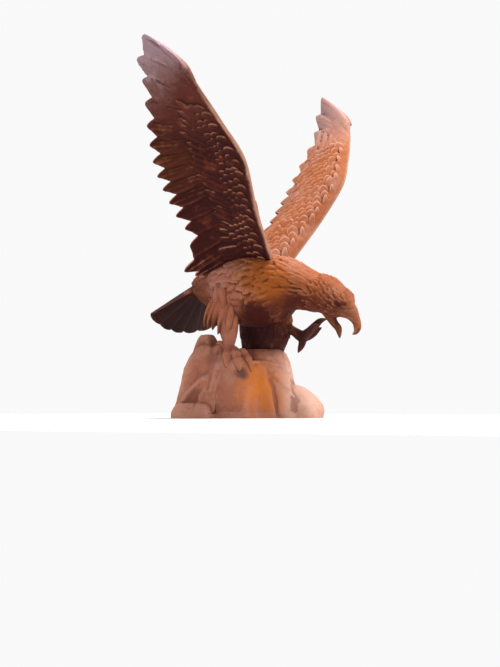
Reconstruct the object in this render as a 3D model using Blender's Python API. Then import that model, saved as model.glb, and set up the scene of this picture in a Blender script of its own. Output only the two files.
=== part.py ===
# A cast iron eagle on a rock plinth, wings raised, one foot on the rock and the other thrust forward.
# The bird looks along -Y with its left side at +X. The origin is the middle of the plinth's underside.
import math

import bmesh
import bpy
import numpy as np
from mathutils import Vector

# Driving sizes, in metres.
EAGLE_HEIGHT = 1.0
PLINTH_HEIGHT = 0.215
PLINTH_LENGTH = 0.44
PLINTH_WIDTH = 0.46
CASTING_GAP = 0.0004

# The figure below is given in shares of EAGLE_HEIGHT: side is to the bird's left, forward is
# the way it faces and up starts at the rock under the standing foot.
TAU = 2 * math.pi

# Trunk, neck and head, from the rump to the face: place along it, forward, up, half height, half width.
TRUNK = (
    (0.00, -0.195, 0.250, 0.016, 0.026),
    (0.06, -0.160, 0.242, 0.046, 0.056),
    (0.17, -0.100, 0.236, 0.082, 0.086),
    (0.28, -0.030, 0.226, 0.107, 0.108),
    (0.40, 0.045, 0.220, 0.121, 0.120),
    (0.52, 0.120, 0.227, 0.110, 0.114),
    (0.62, 0.180, 0.231, 0.086, 0.097),
    (0.70, 0.232, 0.220, 0.069, 0.080),
    (0.78, 0.280, 0.206, 0.062, 0.067),
    (0.85, 0.322, 0.195, 0.060, 0.061),
    (0.91, 0.358, 0.175, 0.052, 0.054),
    (0.96, 0.390, 0.159, 0.043, 0.044),
    (1.00, 0.408, 0.148, 0.030, 0.030),
)
TRUNK_SIDES = 20
TRUNK_ROWS = 16
TRUNK_RELIEF = 0.0055
# Below 1 the trunk's section is squarer than an oval.
TRUNK_ROUNDNESS = 0.88

# Wing: the leading edge and the line of the feather tips, from the shoulder outwards, by feather
# number: side, forward and up. The left wing is given and the right one mirrors it.
FEATHERS = 16
LEADING_EDGE = (
    (-1.5, 0.030, 0.145, 0.290),
    (0, 0.088, 0.157, 0.345),
    (3, 0.215, 0.183, 0.470),
    (6, 0.327, 0.211, 0.610),
    (9, 0.413, 0.187, 0.710),
    (12, 0.480, 0.160, 0.790),
    (15, 0.530, 0.132, 0.848),
    (16, 0.548, 0.118, 0.872),
)
FEATHER_TIPS = (
    (-1.5, 0.060, -0.110, 0.262),
    (0, 0.100, -0.135, 0.276),
    (1, 0.130, -0.160, 0.290),
    (2, 0.168, -0.110, 0.371),
    (4, 0.281, -0.090, 0.457),
    (6, 0.361, -0.088, 0.534),
    (8, 0.428, -0.081, 0.616),
    (10, 0.490, -0.060, 0.722),
    (12, 0.554, -0.033, 0.852),
    (13, 0.576, -0.038, 0.918),
    (14, 0.578, -0.012, 0.993),
    (15, 0.564, 0.100, 0.908),
    (16, 0.560, 0.150, 0.866),
)
# Where in a feather's width its tip lies.
TIP_PLACE = 0.72
WING_CAMBER = 0.10
WING_NOTCH = 0.09
# Half thickness of the wing along the chord, from the leading edge to the feather tips.
WING_SECTION = (
    (0.00, 0.0),
    (0.05, 0.0125),
    (0.15, 0.0165),
    (0.30, 0.0125),
    (0.45, 0.0085),
    (0.60, 0.0055),
    (1.00, 0.0035),
)
# Rows of coverts: where along the chord each row's tips end, and how proud they stand.
COVERT_ROWS = ((0.33, 0.0032), (0.58, 0.0040))
FLIGHT_RELIEF = 0.0040

# Tail fan.
TAIL_ROOT = (0.0, -0.170, 0.250)
TAIL_LENGTH = 0.236
# The middle feathers of the fan are shorter than the outer ones by this share.
TAIL_HOLLOW = 0.16
TAIL_FEATHERS = 9
TAIL_SPREAD = math.radians(50)
TAIL_PITCH = math.radians(55)
TAIL_ROLL = math.radians(3)

# Standing leg, on the bird's right: up, side, forward, half length, half width of the feathered thigh.
STANDING_THIGH = (
    (0.235, -0.066, -0.016, 0.056, 0.040),
    (0.185, -0.078, -0.022, 0.062, 0.046),
    (0.140, -0.080, -0.032, 0.064, 0.044),
    (0.100, -0.079, -0.038, 0.061, 0.040),
    (0.070, -0.078, -0.040, 0.050, 0.034),
    (0.040, -0.077, -0.022, 0.030, 0.024),
)
STANDING_SHANK = (
    (-0.077, -0.024, 0.100, 0.028),
    (-0.077, -0.018, 0.060, 0.0215),
    (-0.077, -0.012, 0.030, 0.0165),
    (-0.077, -0.006, 0.012, 0.0215),
    (-0.077, -0.003, -0.012, 0.028),
)
# Raised leg, on the bird's left: the feathered thigh comes down on the rock.
RAISED_THIGH = (
    (0.240, 0.060, 0.030, 0.085, 0.048),
    (0.150, 0.072, 0.040, 0.098, 0.056),
    (0.100, 0.075, 0.043, 0.100, 0.056),
    (0.060, 0.074, 0.040, 0.092, 0.052),
    (0.000, 0.072, 0.027, 0.064, 0.042),
)
RAISED_SHANK = (
    (0.076, 0.075, 0.128, 0.030),
    (0.079, 0.112, 0.103, 0.021),
    (0.081, 0.150, 0.082, 0.016),
    (0.081, 0.190, 0.064, 0.019),
    (0.080, 0.202, 0.068, 0.016),
)
THIGH_SIDES = 18
THIGH_FLUTE = 0.07
SHANK_SIDES = 9
TOE_SIDES = 7
BROW_SIDES = 6
BEAK_SIDES = 10

# Toes from the foot to the point of the claw: side, forward, up and half thickness. The standing
# foot grips the rock, so up starts at the rock's surface there.
STANDING_TOES = (
    (
        (-0.079, 0.002, 0.002, 0.018),
        (-0.100, 0.025, 0.006, 0.0140),
        (-0.118, 0.048, 0.008, 0.0130),
        (-0.129, 0.062, 0.006, 0.0100),
        (-0.134, 0.069, -0.004, 0.003),
    ),
    (
        (-0.084, -0.002, 0.002, 0.018),
        (-0.107, 0.007, 0.006, 0.0135),
        (-0.127, 0.014, 0.010, 0.0125),
        (-0.140, 0.019, 0.010, 0.0095),
        (-0.146, 0.021, 0.000, 0.003),
    ),
    (
        (-0.071, 0.004, 0.002, 0.018),
        (-0.073, 0.030, 0.006, 0.0135),
        (-0.077, 0.053, 0.008, 0.0125),
        (-0.084, 0.071, 0.006, 0.0095),
        (-0.089, 0.080, -0.004, 0.003),
    ),
    (
        (-0.075, -0.010, 0.002, 0.016),
        (-0.075, -0.036, 0.005, 0.0120),
        (-0.076, -0.054, 0.004, 0.0095),
        (-0.076, -0.066, -0.004, 0.003),
    ),
)
RAISED_TOES = (
    (
        (0.081, 0.188, 0.064, 0.0175),
        (0.079, 0.214, 0.080, 0.0150),
        (0.077, 0.236, 0.098, 0.0130),
        (0.075, 0.258, 0.114, 0.0100),
        (0.072, 0.286, 0.120, 0.002),
    ),
    (
        (0.084, 0.190, 0.060, 0.0155),
        (0.098, 0.202, 0.064, 0.0125),
        (0.108, 0.216, 0.076, 0.0115),
        (0.112, 0.230, 0.088, 0.0080),
        (0.112, 0.243, 0.093, 0.002),
    ),
    (
        (0.077, 0.190, 0.062, 0.0155),
        (0.062, 0.212, 0.070, 0.0125),
        (0.050, 0.234, 0.084, 0.0115),
        (0.044, 0.254, 0.098, 0.0080),
        (0.043, 0.268, 0.100, 0.002),
    ),
    (
        (0.082, 0.186, 0.058, 0.0155),
        (0.083, 0.181, 0.036, 0.0120),
        (0.083, 0.174, 0.022, 0.0090),
        (0.083, 0.166, 0.0075, 0.002),
    ),
)

# Beak: forward, up, half height and half width, from the face to the point.
UPPER_BEAK = (
    (0.385, 0.148, 0.030, 0.028),
    (0.408, 0.138, 0.028, 0.024),
    (0.425, 0.119, 0.022, 0.018),
    (0.4375, 0.098, 0.0165, 0.012),
    (0.4385, 0.080, 0.0150, 0.009),
    (0.432, 0.068, 0.0095, 0.006),
    (0.421, 0.0585, 0.002, 0.002),
)
LOWER_BEAK = (
    (0.335, 0.140, 0.026, 0.032),
    (0.347, 0.116, 0.020, 0.024),
    (0.3575, 0.098, 0.0145, 0.018),
    (0.3675, 0.083, 0.0115, 0.013),
    (0.3715, 0.066, 0.0078, 0.009),
    (0.373, 0.0495, 0.002, 0.003),
)
BROW = (
    (0.040, 0.350, 0.180, 0.004),
    (0.045, 0.378, 0.176, 0.009),
    (0.037, 0.405, 0.169, 0.009),
    (0.025, 0.414, 0.159, 0.004),
)
EYE = (0.040, 0.398, 0.157)
EYE_RADIUS = 0.0095

# Rock lobes that carry the bird, placed under its feet: side and forward in shares of the figure,
# top and base radius in metres, and how far the top stands above the seat.
SEAT_LOBES = (
    (-0.078, -0.002, 0.030, 0.110, 0.0, 0.3),
    (0.073, 0.032, 0.062, 0.125, 0.018, 1.9),
)
# The other lobes: side and forward in shares of the plinth's half width and half length, top and base
# radius in shares of its half length, height in shares of the plinth's height.
OUTER_LOBES = (
    (-0.33, -0.38, 0.09, 0.50, 1.16, 0.9),
    (-0.16, 0.21, 0.07, 0.42, 0.90, 4.1),
    (-0.78, -0.36, 0.09, 0.32, 0.40, 2.6),
    (0.56, 0.51, 0.14, 0.43, 0.58, 5.2),
    (0.25, 0.45, 0.09, 0.36, 0.60, 3.3),
    (0.48, -0.41, 0.23, 0.54, 0.70, 1.2),
    (0.00, -0.54, 0.14, 0.50, 0.88, 2.2),
    (-0.25, -0.52, 0.08, 0.27, 1.33, 0.5),
)
ROCK_COLUMNS = 38
ROCK_ROWS = 11
# Turns the rock's columns off the bird's middle plane, as a share of their pitch.
ROCK_TWIST = 0.37
# Radius of the round patches that close the rock above and below.
ROCK_CROWN = 0.014
ROCK_SOLE = 0.06


def place(side, forward, up):
    """A point of the figure, from its shares of the eagle's height."""
    return Vector((side, -forward, up)) * EAGLE_HEIGHT + Vector((0, 0, PLINTH_HEIGHT))


def follow(keys, where):
    """Reads the smooth curve through keys, rows of (parameter, values), at where."""
    keys = np.asarray(keys, float)
    known, values = keys[:, 0], keys[:, 1:]
    slopes = np.gradient(values, known, axis=0)
    where = min(max(where, known[0]), known[-1])
    i = min(max(int(np.searchsorted(known, where, side="right")) - 1, 0), len(known) - 2)
    span = known[i + 1] - known[i]
    t = (where - known[i]) / span
    ease = t * t * (3 - 2 * t)
    start, end = t * (1 - t) ** 2, t * t * (1 - t)
    curve = values[i] + (values[i + 1] - values[i]) * ease
    return curve + span * (slopes[i] * start - slopes[i + 1] * end)


def cap(first, count):
    """Faces that close a ring of points, as rungs from one side of it to the other."""
    faces = [(first, first + 1, first + count - 1)]
    low, high = first + 1, first + count - 1
    while high - low > 1:
        faces.append((low, low + 1, high) if high - low == 2 else (low, low + 1, high - 1, high))
        low, high = low + 1, high - 1
    return faces


def loft(name, rings):
    """A closed solid through rings that each hold as many points."""
    count = len(rings[0])
    last = count * (len(rings) - 1)
    faces = cap(0, count) + cap(last, count)
    for near in range(0, last, count):
        far = near + count
        for j in range(count):
            k = (j + 1) % count
            faces.append((near + j, near + k, far + k, far + j))
    mesh = bpy.data.meshes.new(name)
    mesh.from_pydata([point for ring in rings for point in ring], [], faces)
    work = bmesh.new()
    work.from_mesh(mesh)
    bmesh.ops.recalc_face_normals(work, faces=work.faces)
    if work.calc_volume(signed=True) < 0:
        bmesh.ops.reverse_faces(work, faces=work.faces)
    bmesh.ops.triangulate(work, faces=work.faces)
    work.to_mesh(mesh)
    work.free()
    solid = bpy.data.objects.new(name, mesh)
    bpy.context.scene.collection.objects.link(solid)
    return solid


def combine(solid, others, operation="UNION"):
    """Joins the others to a solid, or cuts them from it, and hides them."""
    for other in others:
        step = solid.modifiers.new(operation.lower(), "BOOLEAN")
        step.operation = operation
        step.solver = "EXACT"
        step.object = other
        other.hide_render = True
        other.display_type = "WIRE"


def rust(name, colour, roughness):
    """Bare cast iron under rust: a material of one colour."""
    material = bpy.data.materials.new(name)
    material.use_nodes = True
    shader = material.node_tree.nodes["Principled BSDF"]
    shader.inputs["Base Color"].default_value = (*colour, 1)
    shader.inputs["Roughness"].default_value = roughness
    shader.inputs["Metallic"].default_value = 0.15
    return material


def tube(name, path, sides):
    """A round solid along a path of points with a half thickness each."""
    centres = [Vector(point[:3]) for point in path]
    across = Vector((1, 0.3, 0))
    rings = []
    for i, centre in enumerate(centres):
        ahead = (centres[min(i + 1, len(centres) - 1)] - centres[max(i - 1, 0)]).normalized()
        across = (across - ahead * across.dot(ahead)).normalized()
        over = across.cross(ahead)
        turns = [TAU * j / sides for j in range(sides)]
        reach = path[i][3]
        rings.append([centre + (across * math.cos(a) + over * math.sin(a)) * reach for a in turns])
    return loft(name, rings)


def figure_tube(name, path, sides):
    """A tube along points given in shares of the figure."""
    return tube(name, [(*place(*row[:3]), row[3] * EAGLE_HEIGHT) for row in path], sides)


def trunk_relief(along):
    """How proud the feather rows stand, fading towards the face and the rump."""
    return TRUNK_RELIEF * min(1, 0.35 + 6 * along, 0.25 + 4.5 * (1 - along))


def bulge(share):
    """Pushes a share of an oval's radius outwards, for a squarer section."""
    return math.copysign(abs(share) ** TRUNK_ROUNDNESS, share)


def trunk_ring(along, turn_shift, proud, grow):
    """One ring of the trunk, with each second column moved along it so that the row is scalloped."""
    ring = []
    for j in range(TRUNK_SIDES):
        at = min(max(along + turn_shift * (-1) ** j, 0), 1)
        forward, up, high, wide = follow(TRUNK, at)
        ahead = follow(TRUNK, min(at + 0.02, 1))[:2] - follow(TRUNK, max(at - 0.02, 0))[:2]
        tilt = math.atan2(ahead[1], ahead[0])
        turn = TAU * j / TRUNK_SIDES
        out = proud + grow / EAGLE_HEIGHT
        rise = bulge(math.sin(turn)) * (high + out)
        side = bulge(math.cos(turn)) * (wide + out)
        point = (side, forward - rise * math.sin(tilt), up + rise * math.cos(tilt))
        ring.append(place(*point))
    return ring


def trunk(name, grow=0.0):
    """Trunk, neck and head as rows of overlapping feathers, their tips towards the tail."""
    rings = [trunk_ring(0, 0, 0, grow)]
    pitch = 1 / TRUNK_ROWS
    for row in range(1, TRUNK_ROWS):
        shift = pitch * 0.16 * (-1) ** row
        tip = row * pitch
        rings.append(trunk_ring(tip - 0.14 * pitch, shift, 0, grow))
        rings.append(trunk_ring(tip + 0.06 * pitch, shift, trunk_relief(tip), grow))
    rings.append(trunk_ring(1, 0, 0, grow))
    return loft(name, rings)


# Where in a feather's width the columns of a vane run, and how far out each reaches: 0 in the
# notch to the next feather and 1 at the tip, which lies towards the outer side.
VANE_COLUMNS = ((0.0, 0.0), (0.38, 0.62), (0.72, 1.0), (0.93, 0.55))


def wing_section(number, reach, lift):
    """One ring of the wing's section, from the leading edge over the back to the tips and back under."""
    front = follow(LEADING_EDGE, number)
    tip = follow(FEATHER_TIPS, number - TIP_PLACE)
    beyond = follow(LEADING_EDGE, number + 0.5) - follow(LEADING_EDGE, number - 0.5)
    chord = (tip - front) * (1 - WING_NOTCH * (1 - reach))
    to_world = np.array([1, -1, 1])
    back = np.cross(beyond * to_world, chord * to_world)
    back = back / np.linalg.norm(back) * to_world
    length = float(np.linalg.norm(chord))
    fullness = 1.25 - 0.75 * max(number, 0) / FEATHERS
    stations = [(0.0, 0.0), (0.05, 0.0), (0.15, 0.0)]
    for end, step in COVERT_ROWS:
        end += 0.025 * (reach - 0.6)
        stations += [(end, step), (end + 0.018, 0.0)]
    stations.append((1.0, 0.0))
    upper, lower = [], []
    for share, proud in stations:
        middle = front + chord * share + back * WING_CAMBER * length * math.sin(math.pi * share**0.75)
        blade = lift * FLIGHT_RELIEF if share > COVERT_ROWS[-1][0] + 0.03 else 0.4 * lift * proud
        thick = float(follow(WING_SECTION, share)[0]) * fullness + proud + blade
        upper.append(place(*(middle + back * thick)))
        lower.append(place(*(middle - back * thick)))
    return upper + lower[:0:-1]


def wing(name, mirrored):
    """A wing of fifteen flight feathers under three rows of coverts, the same on both faces."""
    marks = [(number + across, reach, across) for number in range(FEATHERS) for across, reach in VANE_COLUMNS]
    rings = [wing_section(*mark) for mark in [(-1.5, 1.0, 0.0), (-0.7, 0.8, 0.0)] + marks[:-1]]
    if mirrored:
        rings = [[Vector((-p.x, p.y, p.z)) for p in ring] for ring in rings]
    return loft(name, rings)


def tail(name):
    """The tail fan, its feathers overlapping like slats."""
    root = np.array(TAIL_ROOT)
    rings = []
    for number in range(TAIL_FEATHERS):
        for across, reach in VANE_COLUMNS:
            turn = TAIL_SPREAD * (2 * (number + across) / TAIL_FEATHERS - 1)
            outer = (turn / TAIL_SPREAD) ** 2
            long = TAIL_LENGTH * (1 - TAIL_HOLLOW * (1 - outer)) * (0.95 + 0.05 * reach)
            ring_top, ring_under = [], []
            for share, thick in ((0.0, 0.012), (0.35, 0.010), (0.70, 0.007), (1.0, 0.005)):
                side = -math.sin(turn) * long * share - 0.02 * turn
                drop = math.cos(turn) * long * share
                proud = thick + 0.004 * across * share
                for ring, lift in ((ring_top, proud), (ring_under, -proud)):
                    forward = root[1] - drop * math.cos(TAIL_PITCH) - lift * math.sin(TAIL_PITCH)
                    up = root[2] - drop * math.sin(TAIL_PITCH) + lift * math.cos(TAIL_PITCH)
                    ring.append(place(side, forward, up - side * math.sin(TAIL_ROLL)))
            rings.append(ring_top + ring_under[::-1])
    return loft(name, rings)


def thigh(name, sections, jagged):
    """A feathered thigh, fluted lengthwise, with the feather points hanging at its foot."""
    rings = []
    for i, (up, side, forward, long, wide) in enumerate(sections):
        last = i == len(sections) - 1
        ring = []
        for j in range(THIGH_SIDES):
            turn = TAU * j / THIGH_SIDES
            swell = 1 + THIGH_FLUTE * (-1) ** j * min(i, 2) / 2
            drop = jagged * (0.5 + 0.5 * (-1) ** j) if last else 0
            ring.append(
                place(
                    side + math.sin(turn) * wide * swell,
                    forward + math.cos(turn) * long * swell,
                    up - drop,
                )
            )
        rings.append(ring)
    return loft(name, rings)


def beak_part(name, path):
    """Part of the beak: oval rings that stand square to a path in the middle plane."""
    rings = []
    for i, (forward, up, high, wide) in enumerate(path):
        before, after = path[max(i - 1, 0)], path[min(i + 1, len(path) - 1)]
        tilt = math.atan2(after[1] - before[1], after[0] - before[0])
        ring = []
        for j in range(BEAK_SIDES):
            turn = TAU * (j + 0.5) / BEAK_SIDES
            rise = math.sin(turn) * high
            ring.append(
                place(math.cos(turn) * wide, forward - rise * math.sin(tilt), up + rise * math.cos(tilt))
            )
        rings.append(ring)
    return loft(name, rings)


def eye(name, side):
    """An eye, a ball half sunk under the brow."""
    ball = bmesh.new()
    bmesh.ops.create_icosphere(ball, subdivisions=1, radius=EYE_RADIUS * EAGLE_HEIGHT)
    bmesh.ops.translate(ball, verts=ball.verts, vec=place(side * EYE[0], EYE[1], EYE[2]))
    mesh = bpy.data.meshes.new(name)
    ball.to_mesh(mesh)
    ball.free()
    solid = bpy.data.objects.new(name, mesh)
    bpy.context.scene.collection.objects.link(solid)
    return solid


def mirrored(path):
    """The same points on the bird's other side."""
    return [(-row[0], *row[1:]) for row in path]


def rock_lobes():
    """Every lobe of the rock in metres: centre, top and base radius, height and seed."""
    lobes = [
        (side * EAGLE_HEIGHT, -forward * EAGLE_HEIGHT, top, base, PLINTH_HEIGHT + over, seed)
        for side, forward, top, base, over, seed in SEAT_LOBES
    ]
    half_width, half_length = PLINTH_WIDTH / 2, PLINTH_LENGTH / 2
    for side, forward, top, base, height, seed in OUTER_LOBES:
        spread = (top * half_length, base * half_length)
        lobes.append((side * half_width, -forward * half_length, *spread, height * PLINTH_HEIGHT, seed))
    return lobes


def rock_height(x, y, grow):
    """How high the rock stands over a spot of the floor, or zero beside the rock."""
    found = 0.0
    for middle_x, middle_y, top, base, height, seed in rock_lobes():
        turn = math.atan2(y - middle_y, x - middle_x)
        rough = 1 + 0.09 * math.sin(3 * turn + seed) + 0.06 * math.sin(5 * turn + 2.3 * seed)
        away = (math.hypot(x - middle_x, y - middle_y) - grow) / rough
        if away < base:
            spread = max((away - top) / (base - top), 0)
            found = max(found, height * (1 - spread**2) ** 0.6 + grow)
    return found


def rock(name, grow=0.0):
    """The rock as one solid, its rows spaced evenly down its slopes."""
    reach = (PLINTH_LENGTH + PLINTH_WIDTH) / 2
    marks = np.linspace(reach, ROCK_CROWN, 400)
    columns = []
    for j in range(ROCK_COLUMNS):
        turn = TAU * (j + ROCK_TWIST) / ROCK_COLUMNS
        x, y = math.cos(turn), math.sin(turn)
        heights = np.array([rock_height(x * mark, y * mark, grow) for mark in marks])
        first = int(np.argmax(heights > 0))
        outs, ups = np.r_[marks[first], marks[first:]], np.r_[0.0, heights[first:]]
        walked = np.r_[0.0, np.cumsum(np.hypot(np.diff(outs), np.diff(ups)))]
        stops = np.linspace(0, walked[-1], ROCK_ROWS)
        slope = zip(np.interp(stops, walked, outs), np.interp(stops, walked, ups))
        columns.append([Vector((x * ROCK_SOLE, y * ROCK_SOLE, 0))] + [Vector((x * r, y * r, z)) for r, z in slope])
    return loft(name, list(zip(*columns)))


def grip(path):
    """A toe's points laid on the rock."""
    laid = []
    for side, forward, up, reach in path:
        spot = (side * EAGLE_HEIGHT, -forward * EAGLE_HEIGHT)
        laid.append((*spot, rock_height(*spot, 0) + up * EAGLE_HEIGHT, reach * EAGLE_HEIGHT))
    return laid


def main():
    for thing in list(bpy.data.objects):
        bpy.data.objects.remove(thing)

    iron = rust("rusted_cast_iron", (0.33, 0.115, 0.055), 0.82)
    rock_iron = rust("rusted_rock_casting", (0.42, 0.17, 0.085), 0.88)

    rock("rock_plinth").data.materials.append(rock_iron)

    # Each leg is cut to the rock before it joins the trunk.
    seat = rock("rock_seat", CASTING_GAP)
    standing = thigh("standing_thigh", STANDING_THIGH, 0.022)
    raised = thigh("raised_thigh", RAISED_THIGH, 0.02)
    standing_toes = [tube(f"standing_toe_{i}", grip(toe), TOE_SIDES) for i, toe in enumerate(STANDING_TOES)]
    raised_toes = [figure_tube(f"raised_toe_{i}", toe, TOE_SIDES) for i, toe in enumerate(RAISED_TOES)]
    combine(standing, [figure_tube("standing_shank", STANDING_SHANK, SHANK_SIDES), *standing_toes])
    combine(raised, [figure_tube("raised_shank", RAISED_SHANK, SHANK_SIDES), *raised_toes])
    for leg in (standing, raised):
        combine(leg, [seat], "DIFFERENCE")

    body = trunk("eagle_body")
    parts = [
        tail("tail"),
        beak_part("upper_beak", UPPER_BEAK),
        beak_part("lower_beak", LOWER_BEAK),
        figure_tube("left_brow", BROW, BROW_SIDES),
        figure_tube("right_brow", mirrored(BROW), BROW_SIDES),
        eye("left_eye", 1),
        eye("right_eye", -1),
        standing,
        raised,
    ]
    combine(body, parts)
    body.data.materials.append(iron)

    shoulder = trunk("shoulder_seat", CASTING_GAP)
    for name, right in (("wing_left", False), ("wing_right", True)):
        piece = wing(name, right)
        combine(piece, [shoulder], "DIFFERENCE")
        piece.data.materials.append(iron)


main()
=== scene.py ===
import math

import bpy
import numpy as np
from mathutils import Matrix, Vector, noise


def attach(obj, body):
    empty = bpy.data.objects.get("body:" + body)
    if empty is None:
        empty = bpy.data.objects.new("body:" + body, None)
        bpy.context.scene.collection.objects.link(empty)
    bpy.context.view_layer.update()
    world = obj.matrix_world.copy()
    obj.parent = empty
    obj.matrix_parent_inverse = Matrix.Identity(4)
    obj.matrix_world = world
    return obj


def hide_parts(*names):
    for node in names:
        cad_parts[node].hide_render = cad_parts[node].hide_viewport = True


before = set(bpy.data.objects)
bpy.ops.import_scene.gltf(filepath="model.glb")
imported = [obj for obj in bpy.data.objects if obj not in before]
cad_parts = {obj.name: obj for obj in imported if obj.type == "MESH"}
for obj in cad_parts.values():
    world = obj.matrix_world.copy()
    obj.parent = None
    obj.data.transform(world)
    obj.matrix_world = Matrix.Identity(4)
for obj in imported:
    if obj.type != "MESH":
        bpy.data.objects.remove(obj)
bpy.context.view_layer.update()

# Camera, floor and studio light.
# The camera stands low on the bird's right, a little in front of it, where the photograph was taken from.
# One wide soft light hangs overhead, as the sky did, with a weak one from the camera's right.
CAMERA_TURN = math.radians(58)
CAMERA_DISTANCE = 5.2
CAMERA_HEIGHT = 0.04
FOCAL_PIXELS = 1516
PICTURE_WIDTH, PICTURE_HEIGHT = 500, 667
ORIGIN_ACROSS, ORIGIN_DOWN = 244, 418
SENSOR = 36

camera = bpy.data.objects.new("camera", bpy.data.cameras.new("camera"))
camera.data.sensor_width = SENSOR
camera.data.lens = FOCAL_PIXELS * SENSOR / PICTURE_HEIGHT
camera.location = (
    -math.sin(CAMERA_TURN) * CAMERA_DISTANCE,
    -math.cos(CAMERA_TURN) * CAMERA_DISTANCE,
    CAMERA_HEIGHT,
)
yaw = math.atan((PICTURE_WIDTH / 2 - ORIGIN_ACROSS) / FOCAL_PIXELS)
pitch = math.atan((ORIGIN_DOWN - PICTURE_HEIGHT / 2) / FOCAL_PIXELS)
pitch -= math.atan(CAMERA_HEIGHT / CAMERA_DISTANCE)
camera.rotation_euler = (math.pi / 2 + pitch, 0, -CAMERA_TURN - yaw)
bpy.context.scene.collection.objects.link(camera)
bpy.context.scene.camera = camera


def soft_light(name, place, aim, size, power, colour):
    """A square soft box at place, turned to aim."""
    box = bpy.data.objects.new(name, bpy.data.lights.new(name, "AREA"))
    box.data.size = size
    box.data.energy = power
    box.data.color = colour
    box.location = place
    box.rotation_euler = (Vector(aim) - Vector(place)).to_track_quat("-Z", "Y").to_euler()
    bpy.context.scene.collection.objects.link(box)


soft_light("overhead_light", (0.5, -0.4, 4.2), (0, 0, 0.6), 2.0, 290, (1.0, 0.97, 0.94))
soft_light("right_light", (2.4, -4.2, 2.6), (0, 0, 0.5), 1.6, 90, (1.0, 0.96, 0.92))
soft_light("left_light", (-3.6, 3.2, 2.4), (0, 0, 0.6), 1.8, 35, (0.93, 0.96, 1.0))

# The room behind is white, and gives about half as much light as it shows.
ROOM_LIGHT, ROOM_WHITE = 0.52, 0.95
world = bpy.data.worlds.new("studio")
world.use_nodes = True
room = world.node_tree
room.nodes["Background"].inputs["Color"].default_value = (1, 1, 1, 1)
room.nodes["Background"].inputs["Strength"].default_value = ROOM_LIGHT
behind = room.nodes.new("ShaderNodeBackground")
behind.inputs["Strength"].default_value = ROOM_WHITE
behind.inputs["Color"].default_value = (1, 1, 1, 1)
seen_directly = room.nodes.new("ShaderNodeLightPath")
either = room.nodes.new("ShaderNodeMixShader")
room.links.new(seen_directly.outputs["Is Camera Ray"], either.inputs[0])
room.links.new(room.nodes["Background"].outputs[0], either.inputs[1])
room.links.new(behind.outputs[0], either.inputs[2])
room.links.new(either.outputs[0], room.nodes["World Output"].inputs["Surface"])
bpy.context.scene.world = world
bpy.context.scene.view_settings.view_transform = "Standard"

FLOOR_SIZE = 5
half_floor = FLOOR_SIZE / 2
floor_corners = [(x * half_floor, y * half_floor, 0) for x, y in ((-1, -1), (1, -1), (1, 1), (-1, 1))]
floor_mesh = bpy.data.meshes.new("studio_floor")
floor_mesh.from_pydata(floor_corners, [], [(0, 1, 2, 3)])
studio_floor = bpy.data.objects.new("studio_floor", floor_mesh)
bpy.context.scene.collection.objects.link(studio_floor)
floor_paint = bpy.data.materials.new("pale_floor")
floor_paint.use_nodes = True
floor_paint.node_tree.nodes["Principled BSDF"].inputs["Base Color"].default_value = (0.86, 0.86, 0.85, 1)
floor_paint.node_tree.nodes["Principled BSDF"].inputs["Roughness"].default_value = 0.9
floor_mesh.materials.append(floor_paint)


# Rock plinth.
# The hollow iron rock that carries the bird: sand cast, with broad chipped faces, creases between its
# lobes and a skin of fine pits. The claws were cast to lie on it. It stands open on the floor.
PLINTH_HEIGHT = 0.215
HALF_WIDTH, HALF_LENGTH = 0.23, 0.22
# The lobes under the feet: side, forward, top and base radius, height and seed of the rough outline.
SEAT_LOBES = (
    (-0.078, -0.002, 0.030, 0.110, 0.215, 0.3),
    (0.073, 0.032, 0.062, 0.125, 0.233, 1.9),
)
# The other lobes, in shares of the half width, half length and height.
OUTER_LOBES = (
    (-0.33, -0.38, 0.09, 0.50, 1.16, 0.9),
    (-0.16, 0.21, 0.07, 0.42, 0.90, 4.1),
    (-0.78, -0.36, 0.09, 0.36, 0.19, 2.6),
    (0.56, 0.51, 0.05, 0.46, 0.54, 5.2),
    (0.25, 0.45, 0.09, 0.36, 0.60, 3.3),
    (0.48, -0.41, 0.23, 0.54, 0.70, 1.2),
    (0.00, -0.54, 0.14, 0.50, 0.88, 2.2),
    (-0.25, -0.52, 0.08, 0.27, 1.33, 0.5),
)
ROCK_COLUMNS, ROCK_ROWS = 420, 170
# The rock is traced from its widest reach in to a small cap on its top.
ROCK_REACH, ROCK_CROWN = 0.45, 0.004
# How softly neighbouring lobes run together, and how far above the floor that begins.
MELT, MELT_FROM = 0.018, 0.03


def rock_height(x, y):
    """How high the rock stands over spots of the floor."""
    lobes = [(side, -forward, *rest) for side, forward, *rest in SEAT_LOBES]
    for side, forward, top, base, height, seed in OUTER_LOBES:
        spread = (top * HALF_LENGTH, base * HALF_LENGTH)
        lobes.append((side * HALF_WIDTH, -forward * HALF_LENGTH, *spread, height * PLINTH_HEIGHT, seed))
    heights = []
    for middle_x, middle_y, top, base, height, seed in lobes:
        turn = np.arctan2(y - middle_y, x - middle_x)
        rough = 1 + 0.09 * np.sin(3 * turn + seed) + 0.06 * np.sin(5 * turn + 2.3 * seed)
        away = np.hypot(x - middle_x, y - middle_y) / rough
        spread = np.clip((away - top) / (base - top), 0, 1)
        heights.append(np.where(away < base, height * (1 - spread**2) ** 0.6, 0))
    highest = np.max(heights, axis=0)
    filled = MELT * np.log(np.exp((np.array(heights) - highest) / MELT).sum(0))
    return highest + filled * np.clip(highest / MELT_FROM, 0, 1)


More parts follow.
